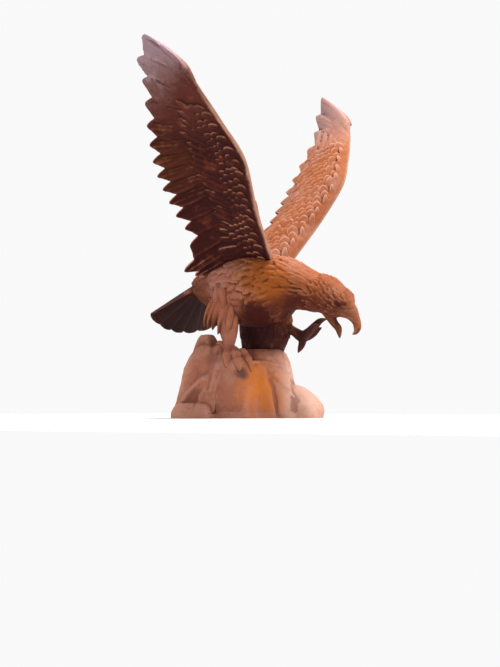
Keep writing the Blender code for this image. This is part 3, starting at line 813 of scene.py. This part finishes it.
# Thighs: up, side, forward, half length and half width. Locks of feathers: three points and a thickness.
STANDING_THIGH = (
    (0.245, -0.070, -0.008, 0.026, 0.034),
    (0.225, -0.074, -0.012, 0.050, 0.046),
    (0.185, -0.080, -0.016, 0.057, 0.045),
    (0.140, -0.081, -0.020, 0.050, 0.041),
    (0.110, -0.079, -0.018, 0.041, 0.036),
    (0.080, -0.078, -0.013, 0.033, 0.029),
    (0.045, -0.077, -0.010, 0.0215, 0.0205),
    (0.026, -0.077, -0.011, 0.0160, 0.0155),
)
STANDING_LOCKS = (
    ((-0.086, -0.052, 0.205), (-0.091, -0.070, 0.168), (-0.088, -0.0865, 0.136), 0.014),
    ((-0.098, -0.044, 0.212), (-0.101, -0.070, 0.155), (-0.092, -0.104, 0.096), 0.016),
    ((-0.104, -0.026, 0.216), (-0.108, -0.052, 0.150), (-0.095, -0.088, 0.088), 0.015),
    ((-0.110, -0.008, 0.212), (-0.111, -0.036, 0.146), (-0.098, -0.066, 0.083), 0.014),
    ((-0.110, 0.010, 0.206), (-0.110, -0.014, 0.136), (-0.098, -0.044, 0.067), 0.013),
    ((-0.070, -0.056, 0.205), (-0.068, -0.078, 0.155), (-0.072, -0.100, 0.105), 0.016),
    ((-0.052, -0.050, 0.200), (-0.048, -0.072, 0.145), (-0.054, -0.092, 0.092), 0.015),
    ((-0.044, -0.030, 0.200), (-0.038, -0.050, 0.140), (-0.044, -0.070, 0.085), 0.014),
    ((-0.040, -0.008, 0.200), (-0.036, -0.024, 0.140), (-0.044, -0.040, 0.080), 0.012),
    ((-0.101, 0.028, 0.205), (-0.1065, 0.012, 0.130), (-0.097, -0.004, 0.062), 0.012),
    ((-0.088, 0.034, 0.195), (-0.089, 0.020, 0.125), (-0.086, 0.008, 0.052), 0.011),
    ((-0.100, -0.046, 0.240), (-0.115, -0.036, 0.198), (-0.116, -0.042, 0.150), 0.013),
    ((-0.100, -0.020, 0.245), (-0.117, -0.008, 0.200), (-0.118, -0.008, 0.146), 0.013),
    ((-0.096, 0.004, 0.245), (-0.111, 0.014, 0.200), (-0.110, 0.014, 0.150), 0.013),
)
# Shanks and toes: side, forward, up and half thickness. The standing toes' up is over the rock's skin.
STANDING_SHANK = (
    (-0.077, -0.024, 0.100, 0.028),
    (-0.077, -0.018, 0.060, 0.0215),
    (-0.077, -0.012, 0.030, 0.0165),
    (-0.077, -0.006, 0.012, 0.0215),
    (-0.077, -0.003, -0.012, 0.028),
)
RAISED_THIGH = (
    (0.240, 0.060, 0.030, 0.085, 0.048),
    (0.150, 0.072, 0.040, 0.098, 0.056),
    (0.100, 0.075, 0.043, 0.100, 0.056),
    (0.060, 0.074, 0.040, 0.092, 0.052),
    (0.000, 0.072, 0.027, 0.064, 0.042),
)
RAISED_SHANK = (
    (0.076, 0.075, 0.128, 0.030),
    (0.079, 0.112, 0.103, 0.021),
    (0.081, 0.150, 0.082, 0.016),
    (0.081, 0.190, 0.064, 0.019),
    (0.080, 0.202, 0.068, 0.016),
)
STANDING_TOES = (
    (
        (-0.079, 0.002, 0.004, 0.024), (-0.094, 0.018, 0.001, 0.0170), (-0.105, 0.031, 0.003, 0.0190),
        (-0.115, 0.044, 0.000, 0.0150), (-0.120, 0.051, 0.002, 0.0165), (-0.126, 0.058, 0.001, 0.0120),
        (-0.130, 0.063, -0.006, 0.004),
    ),
    (
        (-0.084, -0.002, 0.004, 0.024), (-0.104, 0.004, 0.001, 0.0165), (-0.117, 0.009, 0.003, 0.0180),
        (-0.127, 0.013, 0.001, 0.0150), (-0.134, 0.016, 0.001, 0.0110), (-0.140, 0.018, -0.005, 0.004),
    ),
    (
        (-0.071, 0.004, 0.004, 0.024), (-0.072, 0.024, 0.001, 0.0165), (-0.074, 0.040, 0.003, 0.0180),
        (-0.077, 0.055, 0.000, 0.0140), (-0.082, 0.067, 0.001, 0.0150), (-0.086, 0.075, 0.000, 0.0085),
        (-0.090, 0.083, -0.006, 0.003),
    ),
    (
        (-0.075, -0.010, 0.002, 0.016), (-0.075, -0.036, 0.005, 0.0120), (-0.076, -0.054, 0.004, 0.0095),
        (-0.076, -0.066, -0.004, 0.003),
    ),
)
RAISED_TOES = (
    (
        (0.081, 0.188, 0.064, 0.0175), (0.079, 0.214, 0.080, 0.0150), (0.077, 0.236, 0.098, 0.0130),
        (0.075, 0.258, 0.114, 0.0100), (0.072, 0.286, 0.120, 0.002),
    ),
    (
        (0.084, 0.190, 0.060, 0.0155), (0.098, 0.202, 0.064, 0.0125), (0.108, 0.216, 0.076, 0.0115),
        (0.112, 0.230, 0.088, 0.0080), (0.112, 0.243, 0.093, 0.002),
    ),
    (
        (0.077, 0.190, 0.062, 0.0155), (0.062, 0.212, 0.070, 0.0125), (0.050, 0.234, 0.084, 0.0115),
        (0.044, 0.254, 0.098, 0.0080), (0.043, 0.268, 0.100, 0.002),
    ),
    (
        (0.082, 0.186, 0.058, 0.0155), (0.083, 0.181, 0.036, 0.0120), (0.083, 0.174, 0.022, 0.0090),
        (0.083, 0.166, 0.0075, 0.002),
    ),
)
# Beak: forward, up, half height and half width. Brow: side, forward, up and half thickness.
UPPER_BEAK = (
    (0.372, 0.158, 0.036, 0.037),
    (0.396, 0.148, 0.034, 0.032),
    (0.414, 0.134, 0.027, 0.025),
    (0.427, 0.117, 0.0190, 0.018),
    (0.4365, 0.100, 0.0148, 0.012),
    (0.4385, 0.082, 0.0135, 0.009),
    (0.433, 0.069, 0.0090, 0.006),
    (0.419, 0.0600, 0.0015, 0.002),
)
LOWER_BEAK = (
    (0.331, 0.140, 0.022, 0.030),
    (0.3425, 0.116, 0.0150, 0.022),
    (0.3545, 0.098, 0.0120, 0.017),
    (0.3675, 0.083, 0.0115, 0.013),
    (0.3715, 0.066, 0.0078, 0.009),
    (0.373, 0.0495, 0.002, 0.003),
)
BROW = (
    (0.046, 0.338, 0.183, 0.004),
    (0.046, 0.366, 0.177, 0.008),
    (0.040, 0.394, 0.172, 0.009),
    (0.030, 0.409, 0.1685, 0.0065),
)
EYE = (0.031, 0.400, 0.1540)
EYE_RADIUS = 0.0085
# Lines cut or raised on the head and legs: how proud, how wide, and points of the bird's left side.
CARVED_LINES = (
    (-0.0055, 0.0070, (
        (0.050, 0.335, 0.171), (0.046, 0.3644, 0.1645), (0.042, 0.3904, 0.1590), (0.034, 0.405, 0.1560),
    )),
    (0.0022, 0.0032, (
        (0.030, 0.362, 0.1355), (0.026, 0.3731, 0.1345), (0.023, 0.4029, 0.1235), (0.014, 0.4288, 0.1095),
        (0.008, 0.4430, 0.0967),
    )),
    (-0.0030, 0.0030, ((0.022, 0.4365, 0.1362), (0.020, 0.4385, 0.1325))),
    (-0.0025, 0.0045, ((0.036, 0.395, 0.1440), (0.030, 0.414, 0.1420), (0.018, 0.431, 0.1460))),
    (-0.0020, 0.0035, ((0.045, 0.3015, 0.1463), (0.040, 0.3279, 0.1355), (0.032, 0.350, 0.1230))),
)


def grip(path):
    """A toe's points laid on the rock."""
    return [
        (side, forward, float(rock_height(side, -forward)) - SEAT + up, reach)
        for side, forward, up, reach in path
    ]


def beak_part(name, path):
    """Part of the beak: oval rings that stand square to a path in the middle plane."""
    path = np.asarray(path, float)
    steps = np.r_[0.0, np.cumsum(np.linalg.norm(np.diff(path[:, :2], axis=0), axis=1))]
    dense = follow(np.c_[steps, path], np.linspace(0, steps[-1], 60))
    ahead = np.gradient(dense[:, :2], axis=0)
    tilt = np.arctan2(ahead[:, 1], ahead[:, 0])[:, None]
    angle = np.linspace(0, 2 * math.pi, 48, endpoint=False)[None, :]
    forward, up, high, wide = [dense[:, i : i + 1] for i in range(4)]
    rise = np.sin(angle) * high
    ring = np.stack([np.cos(angle) * wide, forward - rise * np.sin(tilt), up + rise * np.cos(tilt)], -1)
    return skin(name, in_place(ring))


def mirrored(path):
    """The same points on the bird's other side."""
    return [(-row[0], *row[1:]) for row in path]


eye = [
    (EYE[0], EYE[1] + EYE_RADIUS * math.cos(turn), EYE[2], max(EYE_RADIUS * math.sin(turn), 0.001))
    for turn in np.linspace(math.pi, 0, 9)
]
body_parts = [
    trunk_mesh,
    body_feathers,
    tail_mesh,
    beak_part("upper_beak", UPPER_BEAK),
    beak_part("lower_beak", LOWER_BEAK),
    tube("left_brow", BROW, 24),
    tube("right_brow", mirrored(BROW), 24),
    tube("left_eye", eye, 24),
    tube("right_eye", mirrored(eye), 24),
    thigh("standing_thigh", STANDING_THIGH),
    *[tube("standing_lock", lock(*points), 20) for points in STANDING_LOCKS],
    thigh("raised_thigh", RAISED_THIGH),
    *thigh_strands("raised_strands", RAISED_THIGH, (
        (0.070, 0.080, 0.018, 26, 0.002, 0.0, 6.1),
        (0.110, 0.090, 0.018, 28, 0.002, 0.1, 6.2),
        (0.155, 0.090, 0.019, 28, 0.002, 0.0, 6.1),
        (0.200, 0.090, 0.020, 26, 0.002, 0.1, 6.2),
    ), 0.3),
    tube("standing_shank", STANDING_SHANK, 40),
    tube("raised_shank", RAISED_SHANK, 40),
    *[tube("standing_toe", grip(toe), 28) for toe in STANDING_TOES],
    *[tube("raised_toe", toe, 28) for toe in RAISED_TOES],
]
BODY_GRAIN = 0.0024
body_rust_and_painted_light = rust_and_painted_light(
    "rusted_cast_iron",
    {
        # Faces that look up are painted lit and those under them painted shaded, on top of their rust; proud
        # edges are painted highlit.
        "open_and_lit": (0.30, 0.085, 0.030), "open_patch": (0.36, 0.135, 0.075),
        "sheltered_and_shaded": (0.060, 0.0105, 0.006), "sheltered_patch": (0.13, 0.030, 0.011),
        "hollow": (0.045, 0.010, 0.007),
        "worn_and_highlit": (0.46, 0.18, 0.095), "sheltered_worn": (0.19, 0.06, 0.03),
    },
    (
        ((-0.10, -0.14, 0.47), 0.12, (0.34, 0.085, 0.010), 0.8),
        ((-0.10, 0.05, 0.49), 0.11, (0.44, 0.18, 0.135), 0.75),
        ((-0.12, -0.01, 0.37), 0.085, (0.37, 0.120, 0.072), 0.6),
        ((-0.08, 0.14, 0.44), 0.10, (0.145, 0.040, 0.018), 0.8),
        ((0.0, -0.31, 0.45), 0.10, (0.31, 0.075, 0.018), 0.7),
        # Painted shade: the tail is darkened, with the lit rim of its upper face and the rump beside it.
        ((0.0, 0.30, 0.33), 0.20, (0.020, 0.0040, 0.0050), 0.95),
        ((-0.14, 0.24, 0.39), 0.13, (0.026, 0.0060, 0.0055), 0.95),
        ((-0.03, 0.21, 0.455), 0.055, (0.030, 0.0070, 0.0060), 0.9),
        ((-0.08, 0.225, 0.43), 0.06, (0.030, 0.0070, 0.0060), 0.9),
        # Painted shade under the belly and breast, on the far thigh and on the raised foot.
        ((0.0, -0.06, 0.29), 0.12, (0.042, 0.0050, 0.0032), 0.85),
        ((-0.09, -0.10, 0.330), 0.09, (0.042, 0.0050, 0.0032), 0.9),
        ((0.085, -0.03, 0.30), 0.14, (0.034, 0.0095, 0.0125), 0.95),
        ((0.08, -0.22, 0.29), 0.11, (0.040, 0.010, 0.010), 0.92),
        ((-0.095, -0.02, 0.245), 0.10, (0.43, 0.160, 0.105), 0.8),
        ((0.0, -0.36, 0.42), 0.08, (0.28, 0.085, 0.042), 0.6),
        ((0.0, -0.34, 0.34), 0.07, (0.14, 0.038, 0.018), 0.7),
        ((0.0, -0.36, 0.29), 0.05, (0.10, 0.028, 0.015), 0.85),
        ((0.0, -0.42, 0.34), 0.06, (0.26, 0.100, 0.050), 0.5),
        # Painted shade in the eye sockets under the brows.
        *(((side, -0.387, 0.374), 0.020, (0.085, 0.020, 0.010), 0.85) for side in (-0.043, 0.043)),
    ),
)
head_lines = [
    (amount, wide, path)
    for amount, wide, line in CARVED_LINES
    for path in (line, mirrored(line))
]
eagle_body = fuse("eagle_body_casting", body_parts, BODY_GRAIN, body_rust_and_painted_light, head_lines)
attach(eagle_body, "root")
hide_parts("eagle_body")


# Wings.
# Two castings, one for each side, set on the shoulders: a smooth round front edge, scale-like coverts,
# a row of long coverts and the ribbed flight feathers, which end as a row of teeth.
FEATHERS = 16
# Points of the front edge and of the feathers' tips: feather number, side, forward and up.
LEADING_EDGE = (
    (-1.5, 0.030, 0.145, 0.290),
    (0, 0.088, 0.157, 0.345),
    (3, 0.215, 0.183, 0.470),
    (6, 0.327, 0.211, 0.610),
    (9, 0.413, 0.187, 0.710),
    (12, 0.480, 0.160, 0.790),
    (15, 0.530, 0.132, 0.848),
    (16, 0.548, 0.118, 0.872),
)
FEATHER_TIPS = (
    (-1.5, 0.060, -0.110, 0.262),
    (0, 0.100, -0.135, 0.276),
    (1, 0.130, -0.160, 0.290),
    (2, 0.168, -0.110, 0.371),
    (4, 0.281, -0.090, 0.457),
    (6, 0.361, -0.088, 0.534),
    (8, 0.428, -0.081, 0.616),
    (10, 0.490, -0.060, 0.722),
    (12, 0.554, -0.033, 0.852),
    (13, 0.576, -0.038, 0.918),
    (14, 0.578, -0.012, 0.993),
    (15, 0.564, 0.100, 0.908),
    (16, 0.560, 0.150, 0.866),
)
# Where in its width a feather has its tip, how hollow the wing is, and how deep the notches are.
TIP_PLACE, WING_CAMBER, WING_NOTCH = 0.72, 0.10, 0.125
# How far the feathers lean towards the wing's tip between the front edge and their own tips, in feathers.
FEATHER_LEAN = (
    (-1.5, 0.0), (0, 0.1), (3, 0.4), (7, 1.4), (9, 2.2), (10.5, 2.5), (12, 1.7), (13, 0.8), (14.5, 0.2),
    (16, 0.0),
)
# Half the wing's thickness at each share of the chord.
WING_SECTION = (
    (0.00, 0.0125), (0.05, 0.0140), (0.15, 0.0165), (0.30, 0.0125), (0.45, 0.0085), (0.60, 0.0055),
    (1.00, 0.0035),
)
# The share of the chord over which the front edge is rounded, and the flight feathers' height.
EDGE_ROUND, FLIGHT_RELIEF = 0.055, 0.0058
# How far out a feather's edge reaches at each part of its width: 0 in the notch, 1 at the tip.
VANE_OUTLINE = (
    (0, 0), (0.2, 0.20), (0.4, 0.48), (0.58, 0.82), (0.70, 1.0), (0.80, 0.93), (0.91, 0.5), (1.0, 0.0),
)


def wing_points(number, share, face, relief=True, out=0.0):
    """Points of a left wing: feather number from the shoulder, share of the chord, face (1 the back)."""
    number, share = np.broadcast_arrays(np.asarray(number, float), np.asarray(share, float))
    front = in_place(follow(LEADING_EDGE, number))
    tip = in_place(follow(FEATHER_TIPS, number - TIP_PLACE))
    beyond = in_place(follow(LEADING_EDGE, number + 0.5)) - in_place(follow(LEADING_EDGE, number - 0.5))
    chord = tip - front
    back = np.cross(beyond, chord)
    back /= np.linalg.norm(back, axis=-1, keepdims=True)
    length = np.linalg.norm(chord, axis=-1)
    fullness = 1.25 - 0.75 * np.maximum(number, 0) / FEATHERS
    edge = np.sqrt(np.clip(1 - (1 - np.clip(share / EDGE_ROUND, 0, 1)) ** 2, 0, 1))
    thick = np.interp(share, *zip(*WING_SECTION)) * fullness * edge
    if relief:
        reach = np.interp(number % 1, *zip(*VANE_OUTLINE))
        notch = WING_NOTCH * (1 - reach) * np.clip((number + 1) / 1.5, 0.3, 1)
        chord = chord * (1 - notch)[..., None]
        across = (number + np.interp(number, *zip(*FEATHER_LEAN)) * (1 - share)) % 1
        flight = np.clip((share - 0.45) / 0.14, 0, 1) * (1 - 0.30 * np.clip(number / FEATHERS, 0, 1))
        thick = thick + FLIGHT_RELIEF * vane_relief(across) * flight
    camber = WING_CAMBER * length * np.sin(math.pi * share**0.75)
    return front + chord * share[..., None] + back * (camber + face * (thick + out))[..., None]


# Long coverts on each face, 1 for the back: where along the chord their tips end, how much of it they
# cover, how wide they are, how many feathers apart, the first and the last, how much they lean and lift.
LONG_COVERTS = (
    (-1, 0.59, 0.30, 0.027, 0.52, -0.9, 11.8, 0.95, 0.26),
    (1, 0.68, 0.16, 0.030, 0.62, -0.9, 9.5, 0.60, 0.20),
    (1, 0.80, 0.16, 0.022, 0.50, 9.4, 13.4, 1.80, 0.10),
    (1, 0.62, 0.16, 0.022, 0.50, 9.4, 13.2, 1.80, 0.10),
    (1, 0.44, 0.14, 0.022, 0.50, 9.4, 12.8, 1.80, 0.10),
    (1, 0.28, 0.12, 0.022, 0.50, 9.4, 12.4, 1.80, 0.10),
)
# How far the long coverts lean towards the wing's tip over a chord, in feathers.
COVERT_LEAN = ((-1, 1.0), (0, 2.0), (3, 4.2), (6, 6.0), (9, 7.5), (12, 8.5))
# Each long covert is rolled this much over this width, so that its outer edge stands over the next one.
ROLL, ROLL_SPAN = -0.10, 0.017
# How deep the coverts' roots are set into the skin.
ROOT_DEPTH = 0.002
# Round scales on each face: how far apart, from where to where across the chord, and the last feather.
SCALES = (
    (-1, 0.024, 0.028, 0.36, 10.8),
    (1, 0.028, 0.008, 0.60, 10.6),
)
# Their width and length, in gaps between them.
SCALE_WIDTH, SCALE_LENGTH = 1.45, 1.75


def wing_outward(number, share, face):
    """Directions straight out of a left wing's face, on the curve of its front edge too."""
    beyond = wing_points(number + 0.1, share, face, False) - wing_points(number - 0.1, share, face, False)
    behind = wing_points(number, share + 0.02, face, False)
    behind = behind - wing_points(number, np.maximum(share - 0.02, 0.005), face, False)
    outward = np.cross(beyond, behind) * face
    return outward / np.linalg.norm(outward, axis=-1, keepdims=True)


def wing_feathers():
    """The coverts of a left wing, a mesh for each row."""
    meshes = []
    for face, gap, first, last, outermost in SCALES:
        number, row, spots = -1.0, 0, []
        while number < outermost:
            inner, outer = (wing_points(number + half, 0.2, face, False) for half in (-0.5, 0.5))
            front, end = (wing_points(number, share, face, False) for share in (0.0, 1.0))
            chord = np.linalg.norm(end - front)
            outs = np.arange(first + 0.5 * gap * (row % 2), last * chord, gap)
            # Beside the front edge they are narrow enough to lie on its curve.
            spots += [(number, out / chord, min(SCALE_WIDTH * gap, 0.012 + 1.2 * out)) for out in outs]
            number += gap / np.linalg.norm(outer - inner)
            row += 1
        number, share, wide = np.array(spots).T
        number = number + chance.uniform(-0.05, 0.05, len(number))
        share = share + chance.uniform(-0.006, 0.006, len(share))
        roots = wing_points(number, share, face, False)
        ahead = wing_points(number + 0.3, share + 0.02, face, False) - roots
        outward = wing_outward(number, share, face)
        size = np.stack(np.broadcast_arrays(wide, SCALE_LENGTH * gap, FEATHER_HEIGHT), -1)
        size = size * chance.uniform(0.88, 1.12, (len(number), 1))
        meshes.append(carve_feathers(
            "wing_scales", roots - outward * ROOT_DEPTH, ahead, outward, size,
            crown=0.06, shaft=0.0, lift=0.34, sink=0.35, roundness=2.6, root_width=0.8,
        ))
    for face, tip, length, wide, pitch, first, last, leaning, lift in LONG_COVERTS:
        number = np.arange(first, last, pitch)
        number = number + chance.uniform(-0.05, 0.05, len(number))
        tips = tip - 0.02 * np.maximum(number - 7, 0) * (face < 0)
        tips = tips + chance.uniform(-0.012, 0.012, len(number))
        lean = np.interp(number, *zip(*COVERT_LEAN)) * length * leaning
        roots = np.maximum(tips - length, 0.055)
        spots = wing_points(number - lean, roots, face, False)
        ends = wing_points(number, tips, face, False)
        halfway = (number - 0.5 * lean, 0.5 * (roots + tips), face, False)
        outward = wing_points(*halfway, 0.02) - wing_points(*halfway)
        outward /= np.linalg.norm(outward, axis=-1, keepdims=True)
        rolled = outward + ROLL * (wing_points(number + 0.3, tips, face, False) - ends) / ROLL_SPAN
        long = np.linalg.norm(ends - spots, axis=-1)
        size = np.stack(np.broadcast_arrays(wide, long, FEATHER_HEIGHT), -1)
        size = size * chance.uniform(0.94, 1.1, (len(number), 1))
        meshes.append(carve_feathers(
            "long_coverts", spots - outward * ROOT_DEPTH, ends - spots, rolled, size,
            crown=0.4 * lift, shaft=0.03, lift=lift, sink=0.3, roundness=3.0, root_width=0.85,
        ))
    return meshes


# The skin runs from inside the body to just short of the wing's end, in feathers.
WING_FROM, WING_TO = -1.5, 15.93


def wing_skin():
    """The wing's own skin with the ribs of its flight feathers, as rings out from the shoulder."""
    numbers = np.linspace(WING_FROM, WING_TO, 440)[:, None]
    shares = np.linspace(0, 1, 130) ** 1.25
    over = wing_points(numbers, shares[None, :], 1.0)
    under = wing_points(numbers, shares[None, :], -1.0)
    return np.concatenate([over, under[:, :0:-1]], 1)


WING_GRAIN = 0.0023
left_parts = [skin("wing_skin", wing_skin()), *wing_feathers()]


def other_side(mesh):
    """The same mesh mirrored across the bird's middle plane, its faces still pointing out."""
    turned = mesh.copy()
    turned.transform(Matrix.Diagonal((-1, 1, 1, 1)))
    turned.flip_normals()
    return turned


wing_rust_and_painted_light = rust_and_painted_light(
    "rusted_cast_iron_wing",
    {
        # Faces that look up are painted lit and those under them, the wings' undersides, painted deep shade,
        # on top of their rust; proud edges are painted highlit.
        "open_and_lit": (0.30, 0.085, 0.027), "open_patch": (0.34, 0.135, 0.080),
        "sheltered_and_shaded": (0.034, 0.0045, 0.0038), "sheltered_patch": (0.080, 0.0140, 0.0055),
        "hollow": (0.012, 0.002, 0.002),
        "worn_and_highlit": (0.52, 0.31, 0.24), "sheltered_worn": (0.16, 0.044, 0.027),
    },
    (
        ((-0.38, 0.05, 0.82), 0.13, (0.085, 0.0190, 0.0055), 0.6),
        ((0.58, 0.0, 1.22), 0.30, (0.36, 0.23, 0.23), 0.7),
        ((-0.52, -0.06, 1.05), 0.22, (0.120, 0.028, 0.019), 0.65),
        ((-0.58, 0.04, 1.13), 0.20, (0.24, 0.120, 0.115), 0.75),
        ((-0.58, 0.0, 1.25), 0.24, (0.46, 0.31, 0.35), 0.8),
    ),
)
for side, parts in (("left", left_parts), ("right", [other_side(part) for part in left_parts])):
    front = wing_points(np.linspace(WING_FROM, 13, 160), 0.0, 1, False) * (1 if side == "left" else -1, 1, 1)
    wing = fuse(f"wing_{side}_casting", parts, WING_GRAIN, wing_rust_and_painted_light, front=front)
    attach(wing, "root")
    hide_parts(f"wing_{side}")
